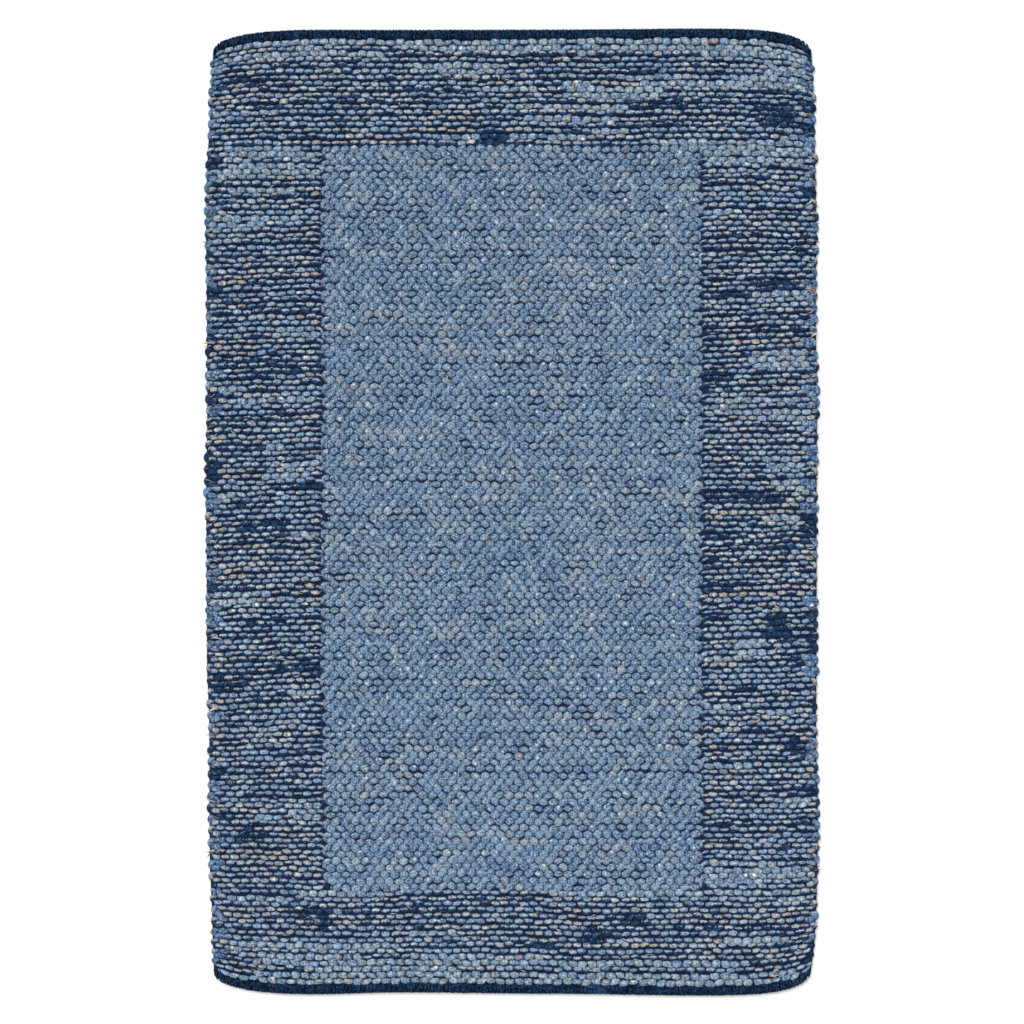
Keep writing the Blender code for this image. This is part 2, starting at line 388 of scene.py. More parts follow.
def weft_path(first_warp, warps_crossed, start, end, picks, joins, seed, rises, row_slope=0.0, roughness=1.0):
    """The rings of a weft that runs to and fro: a dictionary of arrays, one value for each ring.

    joins says for the left and the right end whether the weft turns at a join in the cloth, and not at a
    selvedge. rises says how high each kind of ring lies, row_slope how much the rows halfway along climb to
    the right, and roughness how uneven the yarn and its rows are.
    """
    chance = np.random.default_rng(seed)
    pitch = (end - start) / picks
    last = warps_crossed - 1
    inner = np.arange(1, last)
    bend = np.radians(TURN_BENDS)
    side_of_warp = np.concatenate([[1], np.tile([-1, 0, 1], len(inner)), [0] * len(bend)])
    warp = np.concatenate([[0], np.repeat(inner, RINGS_PER_WARP), [last] * len(bend)])
    turning = np.arange(len(warp)) >= len(warp) - len(bend)
    pick = np.arange(picks)[:, None]
    rightward = pick % 2 == 0
    over = (first_warp + np.where(rightward, warp, last - warp) + pick) % 2 == 0
    on_top = np.where(side_of_warp == 0, CROWN, SHOULDER)
    below = np.where(side_of_warp == 0, SLIT, PEBBLE_END)
    kind = np.where(over, on_top, below)
    kind[:, 0] = CROSSING
    kind[:, turning] = (TURN_START, TURN_SIDE, TURN_APEX, TURN_SIDE, TURN_START)
    zone = np.clip(np.where(over | turning, warp, warp + side_of_warp), 0, last)
    zone = np.where(rightward, zone, last - zone)
    at_join = np.where(rightward, joins[1], joins[0])
    place = warp + side_of_warp * np.where(over, PLACE_OVER, PLACE_UNDER)
    place[:, 0] = 0.5
    place[:, turning] = last + np.where(at_join, JOIN_TURN, SELVEDGE_TURN) - TURN_DEPTH * (1 - np.sin(bend))
    place = np.where(rightward, place, last - place)
    rise = rises[kind]
    by_left = (zone < SELVEDGE_WARPS) & (not joins[0])
    by_right = (zone > last - SELVEDGE_WARPS) & (not joins[1])
    bridge_share = np.where(by_left | by_right, BRIDGED_AT_SELVEDGE, BRIDGED_INSIDE)
    bridged = (kind == SLIT) & (chance.random(kind.shape) < bridge_share)
    rise = rise + BRIDGE_RISE * bridged
    rise[:, turning] += TURN_RISE * np.where(over[:, turning], 1, -1) * TURN_LEVELS
    forward = np.zeros(len(warp))
    forward[turning] = (1 - np.cos(bend)) / 2
    angle = np.zeros(len(warp))
    angle[turning] = bend
    angle = np.where(rightward, angle, math.pi - angle)
    facing = np.ones(len(warp))
    facing[turning] = np.cos(bend)
    row = np.broadcast_to(pick, zone.shape)

    def uneven(spread):
        """Chance for each pebble, and none at the turns."""
        rough = np.clip(chance.standard_normal((picks, warps_crossed)), -MOST_UNEVEN, MOST_UNEVEN)
        return np.where(turning, 0.0, roughness * spread * rough[row, zone])

    def drifted(places, drifts):
        for size, reach, drift_seed in drifts:
            places = places + size * drift(x, y, reach, drift_seed)
        return places

    is_starved = chance.random((picks, warps_crossed)) < STARVED_SHARE * roughness
    starved = np.where(is_starved, STARVED_FULLNESS, 1.0)
    slubs = chance.standard_normal((picks, warps_crossed // SLUB_PEBBLES + 1))
    thickness = np.repeat(slubs, SLUB_PEBBLES, axis=1)[:, :warps_crossed]
    loop = np.where(at_join, LOOP_AT_JOIN, np.where(rightward, LOOP_AT_RIGHT, LOOP_AT_LEFT))
    loop = loop * chance.standard_normal((picks, 1)) * turning
    slim = np.where(turning & at_join, JOIN_SLIMNESS, 1.0)
    wander = chance.standard_normal((picks, 1)) + chance.standard_normal((picks, 1)) * (place / last - 0.5)
    wander = ROW_WANDER * roughness * wander * (1 - turning)
    x = (first_warp + place + 0.5) * WARP_SPACING - HALF_WIDTH
    x = x + uneven(PEBBLE_SHIFT_ACROSS) + np.where(rightward, loop, -loop)
    y = start + (pick + 0.5 + forward) * pitch + uneven(PEBBLE_SHIFT_ALONG) + wander
    y = y + row_slope * (x - x.mean()) * np.sin(math.pi * (y - start) / (end - start))
    fullness = 1 + uneven(PEBBLE_FULLNESS) + SLUB_FULLNESS * thickness[row, zone]
    fullness = fullness + RING_FULLNESS * chance.standard_normal(x.shape)
    path = {
        "x": drifted(x, DRIFTS_ACROSS),
        "y": drifted(y, DRIFTS_ALONG),
        "rise": rise,
        "angle": angle,
        "facing": np.where(rightward, facing, -facing),
        "kind": kind,
        "fullness": slim * starved[row, zone] * fullness,
        "slant": uneven(SLANT_SPREAD) + SLANT,
        "warp": zone,
        "pick": row,
        "at_join": turning & at_join,
    }
    return {key: np.array(value).ravel()[:-2] for key, value in path.items()}


def rings_of(path, ring, half_widths):
    """The points of every ring of a weft. A ring stands across its path, and is small at the yarn's ends."""
    kind = path["kind"]
    half_width = half_widths[kind] * path["fullness"]
    half_height = RING_HALF_HEIGHT[kind].copy()
    half_width[[0, -1]] *= YARN_END_TAPER
    half_height[[0, -1]] *= YARN_END_TAPER
    share = (1 + path["facing"][:, None]) / 2
    across = half_width[:, None] * (share * ring[..., 0] - (1 - share) * ring[..., MIRRORED, 0])
    up = half_height[:, None] * (share * ring[..., 1] + (1 - share) * ring[..., MIRRORED, 1])
    lean = np.sin(path["angle"]) - np.where(kind < CROSSING, path["slant"], 0.0)
    x = path["x"][:, None] - across * lean[:, None]
    y = path["y"][:, None] + across * np.cos(path["angle"])[:, None]
    z = MIDDLE + path["rise"][:, None] + up
    return np.stack([x, y, np.maximum(z, FLOOR_GAP)], axis=-1)


def painted_shade_of(path, points):
    """Painted shade for each point, from 0 on a crown to 1 in a crevice, by how far it is pressed in between
    its neighbours.
    """
    height = np.abs(points[..., 2] - MIDDLE) / MIDDLE
    deep = np.clip((PAINTED_SHADE_BELOW - height) / PAINTED_SHADE_OVER, 0, 1)
    open_side = np.where(path["kind"] >= TURN_SIDE, TURN_PAINTED_SHADE, 1.0)
    return deep * open_side[:, None]


def runs(chance, picks, places, choices, weights, shortest, mean):
    """For each place along each pick, a choice that holds for a run of places, as space-dyed yarn does."""
    made = np.empty(picks * places, dtype=int)
    start = 0
    while start < len(made):
        length = shortest + int(chance.exponential(mean - shortest))
        made[start : start + length] = chance.choice(choices, p=weights)
        start += length
    made = made.reshape(picks, places)
    made[1::2] = made[1::2, ::-1]
    return made


STRETCHES = {
    # name: share of the yarn, how navy its two plies are, the dyes of its pale ply
    "cream": (0.455, 0.04, ("#949592", "#899198", "#7D8C96", "#8F8F8B", "#728799")),
    "grey": (0.28, -0.02, ("#6F849A", "#788897", "#657D97", "#818B96")),
    "thin": (0.14, 0.23, ("#99A0A1", "#8695A0", "#9F9C95")),
    "alone": (0.09, -1.20, ("#6D8297", "#768998", "#657E97", "#7F8D98")),
    "warm": (0.035, 0.02, ("#96897B", "#938D85", "#978D82", "#8C8B8A")),
    "navy": (0.0, 0.36, ("#8395A4", "#A2A098", "#9A9A97", "#968E83")),
}
TURN_STRETCHES = {
    "blue turn": (0.42, -1.20, ("#44658A", "#547190", "#36577D")),
    "navy turn": (0.17, 0.60, ("#2A3F60", "#617A97")),
    "pale turn": (0.41, -0.10, ("#828E98", "#978F84", "#6B8198")),
}
SHORTEST_STRETCH = 4
MEAN_STRETCH = 18
# Short lengths of other dyes, lying anywhere: pebbles for each, its mean length in them, and the most picks
SHORT_STRETCHES = (
    ("alone", 480, 19.0, 3),
    ("navy", 450, 8.4, 5),
    ("warm", 1300, 12.0, 2),
)
STRETCH_STOPS = 0.45  # the chance that a short length goes no further than a pick
# The picks beside each binding: their shares of mixed and of blue yarn, and its shortest and its mean run
HEADING = {"shares": (0.2, 0.8), "shortest": 12, "mean": 40}


def stretches_of(chance, warps_crossed, picks, joins, blue_picks):
    """The name of each pebble's stretch of yarn, pick by pick. The blue_picks are mostly blue yarn."""
    names = np.array(list(STRETCHES))
    shares = [stretch[0] for stretch in STRETCHES.values()]
    mixed = runs(chance, picks, warps_crossed, len(names), shares, SHORTEST_STRETCH, MEAN_STRETCH)
    which = names[mixed].astype("U12")
    for name, pebbles_each, mean_length, most_picks in SHORT_STRETCHES:
        for _ in range(round(picks * warps_crossed / pebbles_each)):
            pick, middle = chance.integers(picks), chance.integers(warps_crossed)
            reach = (SHORTEST_STRETCH + chance.exponential(mean_length - SHORTEST_STRETCH)) / 2
            along = slice(max(0, math.floor(middle - reach)), math.ceil(middle + reach))
            which[pick : pick + min(most_picks, chance.geometric(STRETCH_STOPS)), along] = name
    heading = which[blue_picks]
    blue = runs(chance, len(heading), warps_crossed, 2, *HEADING.values())
    heading[blue == 1] = "alone"
    turn_names = list(TURN_STRETCHES)
    turn_shares = [stretch[0] for stretch in TURN_STRETCHES.values()]
    for pick in range(picks):
        if not joins[(pick + 1) % 2]:
            name = turn_names[chance.choice(len(turn_names), p=turn_shares)]
            reach = chance.integers(1, 4)
            outermost = slice(-reach, None) if pick % 2 == 0 else slice(0, reach)
            which[pick : pick + 2, outermost] = name
    return which


# How uneven the dyes and the plies are. The navy ply shows more or less over a slow drift, by pebble and by
# ring, and closes over a navy stretch's pebbles. At a join some turns hook round in navy.
COLOUR_SEEDS = 500
TONE_SPREAD = 0.13
PLY_SPREAD = 0.11
NAVY_PLY_SPREAD = 0.15
PLY_DRIFT = 0.07
PLY_DRIFT_REACH = 0.045
PLY_DRIFT_ACROSS = 0.3
PEBBLE_CLOSES = 0.16
RING_PLY_SPREAD = 0.06
HOOKED_SHARE = 0.6
HOOKED_PLY = 0.7


def border_weft(
    name, first_warp, warps_crossed, start, end, picks, joins, seed, row_slope=0.0, blue_picks=slice(0)
):
    path = weft_path(first_warp, warps_crossed, start, end, picks, joins, seed, BORDER_RISE, row_slope)
    chance = np.random.default_rng(seed + COLOUR_SEEDS)
    which = stretches_of(chance, warps_crossed, picks, joins, blue_picks)
    kinds = STRETCHES | TURN_STRETCHES
    dyes = {kind: [linear(colour)[:3] for colour in kinds[kind][2]] for kind in kinds}
    tone = np.array([dyes[kind][chance.integers(len(dyes[kind]))] for kind in which.ravel()])
    tone = tone.reshape(*which.shape, 3)
    tone = tone * (1 + TONE_SPREAD * chance.standard_normal((picks, warps_crossed, 1)))
    tone = tone[path["pick"], path["warp"]]
    plies = np.vectorize(lambda kind: kinds[kind][1])(which)
    spread = np.where(which == "navy", NAVY_PLY_SPREAD, PLY_SPREAD)
    plies = plies + spread * chance.standard_normal((picks, warps_crossed))
    closing = (path["kind"] == SHOULDER) & (which == "navy")[path["pick"], path["warp"]]
    plies = plies[path["pick"], path["warp"]]
    plies = plies + PLY_DRIFT * drift(PLY_DRIFT_ACROSS * path["x"], path["y"], PLY_DRIFT_REACH, seed=16)
    plies = plies + PEBBLE_CLOSES * closing
    plies = plies + RING_PLY_SPREAD * chance.standard_normal(len(path["warp"]))
    hooked = chance.random(picks) < HOOKED_SHARE
    hooked = np.repeat(hooked, warps_crossed * RINGS_PER_WARP)[: len(path["warp"])]
    plies = plies + HOOKED_PLY * (path["at_join"] & (path["kind"] == TURN_APEX) & hooked)
    alone = np.clip(-plies, 0, 1)[:, None, None]
    points = rings_of(path, TWO_PLY_RING + alone * (ROUND_RING - TWO_PLY_RING), BORDER_HALF_WIDTH)
    share = (1 + path["facing"][:, None]) / 2
    navy = share * NAVY_PLY + (1 - share) * NAVY_PLY[MIRRORED]
    navy = navy + plies[:, None] + NAVY_BY_RING[UNDERSIDE][:, path["kind"]].T
    return spun(
        name,
        [lie(points)],
        {
            "tone": [np.repeat(np.clip(tone, 0, 1)[:, None], points.shape[1], axis=1)],
            "navy_ply": [navy],
            "painted_shade_mask": [painted_shade_of(path, points)],
        },
    )


# Each pattern has its count in a metre. The grain is along the yarn and round it.
BORDER_LOOK = {
    "grain": (420, 9, 1),  # a fibre each 2.4 mm, drawn as coarse as it needs to show
    "clumps": 300.0,  # clumps of fibre 3.3 mm across
    "clump detail": 1.5,
    "tints": 110.0,  # patches of dye 9 mm across
    "seed": 3.0,
    "fibre light": (0.76, 1.27),
    "clump light": (0.58, 1.55),
    "navy light": (0.40, 1.60),
}
# The last dye is painted shade, for the yarn where it lies lowest.
BORDER_DYES = {"bluer": "#58769A", "undyed": "#969792", "painted_crevice_shade": "#102036"}
NAVY_PLY_DYES = ("#13233E", "#224062")
BORDER_NUBS = {
    "spacing": 0.012,
    "share": 0.13,
    "reach": 0.26,
    "dyes": ("#BAB8B1", "#A08976", "#9D6A53", "#C1C1BB"),
}
RAGGED = 0.008  # how far a nub's outline strays


def yarn_noises(tree, look):
    """A yarn's fibres, clumps of fibre and patches of dye, as noise, and how light the first two make it."""
    fibres = yarn_grain(tree, look["grain"], Detail=3.0, Roughness=0.6)
    where = node(tree, "ShaderNodeTexCoord", {}, {}).outputs["Object"]
    clumped = {"Vector": where, "Scale": look["clumps"], "Detail": look["clump detail"]}
    clumps = node(tree, "ShaderNodeTexNoise", {}, clumped).outputs[0]
    patches = {"Vector": where, "W": look["seed"], "Scale": look["tints"]}
    tint = node(tree, "ShaderNodeTexNoise", {"noise_dimensions": "4D"}, patches)
    fine = mapped(tree, fibres, 0.36, 0.64, *look["fibre light"])
    coarse = mapped(tree, clumps, 0.33, 0.67, *look["clump light"])
    return where, fibres, clumps, tint, worked_out(tree, "MULTIPLY", fine, coarse)


def finish_yarn(tree, shader, surface, fibres):
    """Gives the shader a yarn's colour, and its fibres as bump and as an uneven, dull surface."""
    tree.links.new(surface, shader.inputs["Base Color"])
    raised(tree, shader, fibres, 0.6, 0.0008)
    matt = node(tree, "ShaderNodeMapRange", {}, {"Value": fibres, 3: 0.98, 4: 0.85})
    tree.links.new(matt.outputs[0], shader.inputs["Roughness"])
    shader.inputs["Specular IOR Level"].default_value = 0.12


def nubs_in(tree, place, blur, nubs):
    """Ragged spots of other fibre spun into a yarn: how much of it shows, and its colour."""
    strayed = {0: blur, 1: (RAGGED, RAGGED, 0), 2: place}
    ragged = node(tree, "ShaderNodeVectorMath", {"operation": "MULTIPLY_ADD"}, strayed)
    spots = {"Vector": ragged.outputs[0], "Scale": 1 / nubs["spacing"]}
    cells = node(tree, "ShaderNodeTexVoronoi", {"voronoi_dimensions": "2D"}, spots)
    parts = node(tree, "ShaderNodeSeparateColor", {}, {0: cells.outputs["Color"]})
    inside = mapped(tree, cells.outputs["Distance"], nubs["reach"] / 2, nubs["reach"], 0.9, 0.0)
    here = worked_out(tree, "LESS_THAN", parts.outputs[0], nubs["share"])
    shown = worked_out(tree, "MULTIPLY", inside, here)
    dyes = node(tree, "ShaderNodeValToRGB", {}, {0: parts.outputs[1]})
    dyes.color_ramp.interpolation = "CONSTANT"
    dyes.color_ramp.elements.remove(dyes.color_ramp.elements[1])
    dyes.color_ramp.elements[0].color = linear(nubs["dyes"][0])
    for number, colour in enumerate(nubs["dyes"][1:], start=1):
        dyes.color_ramp.elements.new(1 - 0.5**number).color = linear(colour)
    return shown, dyes.outputs[0]


# Space-dyed jute spun with a navy ply: dull, hairy and mottled along its fibres. Pale fibres catch the light
# on the crowns. Painted shade makes it bluer, then nearly black, where it lies low. Flecks are other fibres
# spun in.
def border_material():
    material, tree, shader = new_material("space_dyed_jute_and_navy_ply")
    where, fibres, clumps, tint, light = yarn_noises(tree, BORDER_LOOK)
    tone = attribute(tree, "tone").outputs["Color"]
    ply = attribute(tree, "navy_ply").outputs["Fac"]
    painted_shade_mask = attribute(tree, "painted_shade_mask").outputs["Fac"]
    toward_navy = mapped(tree, ply, 0.18, 0.45, 0.0, 0.45)
    # Painted shade: the pale ply turns bluer where the yarn lies low between its neighbours.
    painted_shade_bluer = mapped(tree, painted_shade_mask, 0.15, 0.50, 0.0, 0.65)
    bluer = worked_out(tree, "MAXIMUM", toward_navy, painted_shade_bluer)
    dyed = blended(tree, bluer, tone, linear(BORDER_DYES["bluer"]))
    nub, nub_colour = nubs_in(tree, where, tint.outputs["Color"], BORDER_NUBS)
    undyed = mapped(tree, clumps, 0.48, 0.68, 0.0, 0.45)
    streaked = blended(tree, undyed, dyed, linear(BORDER_DYES["undyed"]))
    nubbed = blended(tree, nub, streaked, nub_colour)
    pale = lit(tree, nubbed, light)
    navy_dye = mapped(tree, tint.outputs[0], 0.42, 0.62)
    navy = blended(tree, navy_dye, *[linear(colour) for colour in NAVY_PLY_DYES])
    navy = lit(tree, navy, mapped(tree, clumps, 0.33, 0.67, *BORDER_LOOK["navy light"]))
    ragged_edge = worked_out(tree, "MULTIPLY_ADD", clumps, 1.1, -0.55)
    where_ply = worked_out(tree, "ADD", ply, ragged_edge)
    which = mapped(tree, where_ply, 0.38, 0.46, interpolation_type="SMOOTHSTEP")
    plies = blended(tree, which, pale, navy)
    # Painted shade: the yarn goes over to a nearly black colour where it lies lowest.
    shade = mapped(tree, painted_shade_mask, 0.45, 1.0, 0.0, 0.90)
    finish_yarn(tree, shader, blended(tree, shade, plies, linear(BORDER_DYES["painted_crevice_shade"])), fibres)
    return material


border_yarn = border_material()
far_band = (0, WARPS, FIELD_END, WOVEN_END, FAR_BAND_PICKS, (False, False), 1)
near_band = (0, WARPS, -WOVEN_END, FIELD_START, NEAR_BAND_PICKS, (False, False), 2)
left_strip = (0, BORDER_WARPS, FIELD_START, FIELD_END, SIDE_PICKS, (False, True), 3)
right_strip = (WARPS - BORDER_WARPS, BORDER_WARPS, FIELD_START, FIELD_END, SIDE_PICKS, (True, False), 4)
border_pieces = [
    border_weft("far_band_weft", *far_band, blue_picks=slice(-2, None)),
    border_weft("near_band_weft", *near_band, blue_picks=slice(2)),
    border_weft("left_border_weft", *left_strip, row_slope=0.025),
    border_weft("right_border_weft", *right_strip, row_slope=0.03),
]
for piece in border_pieces:
    piece.data.materials.append(border_yarn)
    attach(piece, "root")
    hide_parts("woven_cloth")

# ----------------------------------------------------------------------------------------------------------
# The field's weft. A thicker, softer yarn of mixed blue and grey jute, beaten up so that its rows of round
# pebbles nest into each other. It turns round the field's own outer warps. It is made as two pieces, because
# one would have over 200,000 triangles.

FIELD_PICKS = 113
FIRST_LENGTH = 56  # picks in the near piece, half of them
FIELD_HALF_WIDTH = np.array([0.0065, 0.0060, 0.0043, 0.0035, 0.0050, 0.0056, 0.0054, 0.0052])
FIELD_RISE = np.array([0.00225, 0.0002, -0.0013, -0.0022, 0.0, 0.0, 0.0, 0.0])
FIELD_YARN = {
    # dye: share of the yarn
    "#617E98": 0.38,
    "#557492": 0.28,
    "#71869A": 0.19,
    "#82909D": 0.08,
    "#47668B": 0.07,
}
FIELD_TONE_SPREAD = 0.10
FIELD_DYE_RUN = 2.5  # in pebbles
FIELD_ROUGHNESS = 0.65
NEAR_END_LIGHTER = 0.075  # how much lighter the yarn is at the near end than midway, and darker at the far
FIELD_LOOK = {
    "grain": (380, 11, 1),  # a fibre each 2.6 mm, drawn as coarse as it needs to show
    "clumps": 400.0,  # clumps of fibre 2.5 mm across
    "clump detail": 2.0,
    "tints": 210.0,  # patches of dye 5 mm across
    "seed": 2.0,
    "fibre light": (0.82, 1.20),
    "clump light": (0.40, 1.65),
}
# The last dye is painted shade, for the yarn where it lies lowest.
FIELD_DYES = {"bluer": "#456A94", "undyed": "#7E8892", "painted_crevice_shade": "#0B1D38"}
FIELD_NUBS = {
    "spacing": 0.010,
    "share": 0.17,
    "reach": 0.24,
    "dyes": ("#BCC3C7", "#B0B4B4", "#9A9690", "#8D6A58"),
}


def field_weft(name, start_pick, picks, seed):
    pitch = (FIELD_END - FIELD_START) / FIELD_PICKS
    start = FIELD_START + start_pick * pitch
    end = start + picks * pitch
    crossed = WARPS - 2 * BORDER_WARPS
    joins = (True, True)
    path = weft_path(BORDER_WARPS, crossed, start, end, picks, joins, seed, FIELD_RISE, 0.0, FIELD_ROUGHNESS)
    points = rings_of(path, ROUND_RING, FIELD_HALF_WIDTH)
    chance = np.random.default_rng(seed + COLOUR_SEEDS)
    palette = np.array([linear(colour)[:3] for colour in FIELD_YARN])
    dyed = runs(chance, picks, crossed, len(palette), list(FIELD_YARN.values()), 1, FIELD_DYE_RUN)
    tone = palette[dyed] * (1 + FIELD_TONE_SPREAD * chance.standard_normal((picks, crossed, 1)))
    tone = tone[path["pick"], path["warp"]] * (1 - NEAR_END_LIGHTER * path["y"] / WOVEN_END)[:, None]
    return spun(
        name,
        [lie(points)],
        {
            "tone": [np.repeat(np.clip(tone, 0, 1)[:, None], points.shape[1], axis=1)],
            "painted_shade_mask": [painted_shade_of(path, points)],
        },
    )


# Soft jute carded from blue, grey and a little white fibre, mottled all over. Its thin crevices are dark with
# real shade and with painted shade. White, tan and brown nubs of unspun fibre show here and there.
def field_material():
    material, tree, shader = new_material("mixed_blue_jute")
    where, fibres, clumps, tint, light = yarn_noises(tree, FIELD_LOOK)
    tone = attribute(tree, "tone").outputs["Color"]
    painted_shade_mask = attribute(tree, "painted_shade_mask").outputs["Fac"]
    bluer = mapped(tree, tint.outputs[0], 0.34, 0.60, 0.40, 0.0)
    dyed = blended(tree, bluer, tone, linear(FIELD_DYES["bluer"]))
    undyed = mapped(tree, clumps, 0.42, 0.66, 0.0, 0.75)
    streaked = blended(tree, undyed, dyed, linear(FIELD_DYES["undyed"]))
    pale = lit(tree, streaked, light)
    nub, nub_colour = nubs_in(tree, where, tint.outputs["Color"], FIELD_NUBS)
    nubbed = blended(tree, nub, pale, nub_colour)
    # Painted shade: the yarn goes over to a dark blue where it lies lowest.
    shade = mapped(tree, painted_shade_mask, 0.55, 1.0, 0.0, 0.88)
    finish_yarn(tree, shader, blended(tree, shade, nubbed, linear(FIELD_DYES["painted_crevice_shade"])), fibres)
    return material


field_yarn = field_material()
field_pieces = [
    field_weft("near_field_weft", 0, FIRST_LENGTH, 21),
    field_weft("far_field_weft", FIRST_LENGTH, FIELD_PICKS - FIRST_LENGTH, 22),
]
for piece in field_pieces:
    piece.data.materials.append(field_yarn)
    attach(piece, "root")
    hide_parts("woven_cloth")

# ----------------------------------------------------------------------------------------------------------
# Loose fibre. Jute sheds hairs and ends of unspun fibre: pale wisps lie over the pebbles, tucked in at both
# ends, brown and grey hairs stand out of the selvedges, and a few yarn ends lie near them.

TOP_OF_PEBBLES = 0.0108
WISP_SIDES = 4
WISP_TAPER = np.array([0.25, 0.8, 1.0, 0.8, 0.25])
WISP_DIP = 0.0035  # how far its two ends dip between the pebbles
WISP_LENGTHS = (0.5, 1.7)  # from the shortest to the longest, as shares of the mean length
WISP_THICKNESSES = (0.6, 1.3)
WISP_BENDS = (-0.25, 0.25)
FIBRE_MOTTLES = 400.0  # mottled each 2.5 mm
HAIR_DYES = ("#A4A3A0", "#83827F", "#665F5C", "#4A4544", "#7B8792", "#959492", "#5C7390")
WISP_DYES = ("#AAABAA", "#A1A8AE", "#989896", "#8FA1B3", "#95938F")
WHITE_DYES = ("#B9BEC1", "#A9B0B6", "#AEAFAD")
END_DYES = ("#BDB8AF", "#AEB3B4", "#B29B80", "#C4C2BA", "#8A9AAA", "#3A302C")
SCATTERED_WISPS = (
    # number, from where to where along X and Y, mean length, thickness, spread of direction in degrees, dyes
    (190, (-0.451, -0.436), (-0.66, 0.66), 0.008, 0.0006, 35, HAIR_DYES),
    (190, (0.436, 0.451), (-0.66, 0.66), 0.008, 0.0007, 35, HAIR_DYES),
    (110, (-0.440, -0.285), (-0.54, 0.54), 0.007, 0.0008, 40, WISP_DYES),
    (110, (0.285, 0.440), (-0.54, 0.54), 0.007, 0.0008, 40, WISP_DYES),
    (90, (-0.430, 0.430), (0.56, 0.68), 0.008, 0.0008, 40, WISP_DYES),
    (90, (-0.430, 0.430), (-0.68, -0.56), 0.008, 0.0008, 40, WISP_DYES),
    (330, (-0.270, 0.270), (-0.54, 0.54), 0.0045, 0.0010, 90, WHITE_DYES),
    # yarn ends at the selvedges, and a few at the near right corner
    (9, (-0.450, -0.436), (-0.60, 0.60), 0.013, 0.0013, 50, END_DYES),
    (9, (0.438, 0.450), (-0.60, 0.60), 0.011, 0.0012, 50, END_DYES),
    (4, (0.385, 0.432), (-0.690, -0.676), 0.010, 0.0016, 40, END_DYES),
)


def wisp(x, y, length, thickness, direction, bend):
    """A short tapered fibre that lies on the pebbles. bend is how much it bows, as a share of its length."""
    along = np.linspace(-0.5, 0.5, len(WISP_TAPER))
    bow = bend * length * (1 - (2 * along) ** 2)
    cos, sin = math.cos(direction), math.sin(direction)
    ring_angle = np.linspace(0, 2 * math.pi, WISP_SIDES, endpoint=False)
    wide = thickness * WISP_TAPER[:, None]
    off = bow[:, None] + wide * np.cos(ring_angle)
    dip = WISP_DIP * (2 * along[:, None]) ** 4
    height = TOP_OF_PEBBLES + thickness * 0.5 - dip + wide * np.sin(ring_angle)
    far = along[:, None] * length
    return np.stack([x + far * cos - off * sin, y + far * sin + off * cos, height], axis=-1)


def loose_ends():
    chance = np.random.default_rng(41)
    strands, tones = [], []
    for number, across, along, mean_length, thickness, spread, dyes in SCATTERED_WISPS:
        for _ in range(number):
            place = chance.uniform(*across), chance.uniform(*along)
            length = mean_length * chance.uniform(*WISP_LENGTHS)
            direction = math.radians(spread) * chance.standard_normal() * 0.6
            thick = thickness * chance.uniform(*WISP_THICKNESSES)
            strands.append(wisp(*place, length, thick, direction, chance.uniform(*WISP_BENDS)))
            tones.append(linear(dyes[chance.integers(len(dyes))])[:3])
    tones = [np.broadcast_to(tone, (*strand.shape[:2], 3)) for tone, strand in zip(tones, strands)]
    return spun("loose_fibre", [lie(strand) for strand in strands], {"tone": tones})


# Unspun jute fibre: matt, a little uneven in colour along its length.
def loose_fibre_material():
    material, tree, shader = new_material("unspun_jute_fibre")
    tone = attribute(tree, "tone").outputs["Color"]
    where = node(tree, "ShaderNodeTexCoord", {}, {}).outputs["Object"]
    uneven = node(tree, "ShaderNodeTexNoise", {}, {"Vector": where, "Scale": FIBRE_MOTTLES}).outputs[0]
    surface = lit(tree, tone, mapped(tree, uneven, 0.35, 0.65, 0.7, 1.15))
    tree.links.new(surface, shader.inputs["Base Color"])
    shader.inputs["Roughness"].default_value = 0.95
    shader.inputs["Specular IOR Level"].default_value = 0.1
    return material


loose = loose_ends()
loose.data.materials.append(loose_fibre_material())
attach(loose, "root")
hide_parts("woven_cloth")

# ----------------------------------------------------------------------------------------------------------
# The overcast ends. Thin navy yarn is whipped over each end of the cloth, turn beside turn, down through the
# cloth 16 mm in and round its edge, over a flat core of the pressed warp ends.

STITCH_SPACING = 0.0021
STITCH_HALF_WIDTH = 0.00108
STITCH_HALF_HEIGHT = 0.0012
STITCH_SIDES = 5
STITCH_RINGS = 11  # in each turn
STITCH_DEPTH = 0.0028  # how far into the cloth a turn's two ends go
STITCH_START = 0.0002
STITCH_PLACE_SPREAD = 0.0008
STITCH_REACH_SPREAD = 0.010
STITCH_LEAN = 0.0008
BINDING_HEIGHT = 0.0105
BINDING_SHARE = 0.996
EDGE_BEND = 0.0046
END_ROUNDING = 0.012
END_NARROWEST = 0.35
CORE_SIDES = 12
CORE_RINGS = 61
CORE_SHARE = 0.997
CORE_INSET = 0.0012
# The core is painted this much darker than the whipping yarn, as shade between the turns.
CORE_PAINTED_SHADE = 0.4
SHADES = (0.25, 3.0)  # the darkest and the lightest that the yarn gets
RUBBED_SHADE = 1.6
BINDING_GRAIN = (380, 4, 1)  # a fibre each 2.6 mm, drawn as coarse as it needs to show, and four round it
BINDING_KNOBS = 330.0  # knobs 3 mm across
BINDING_DYES = ("#0A1628", "#1F3652")


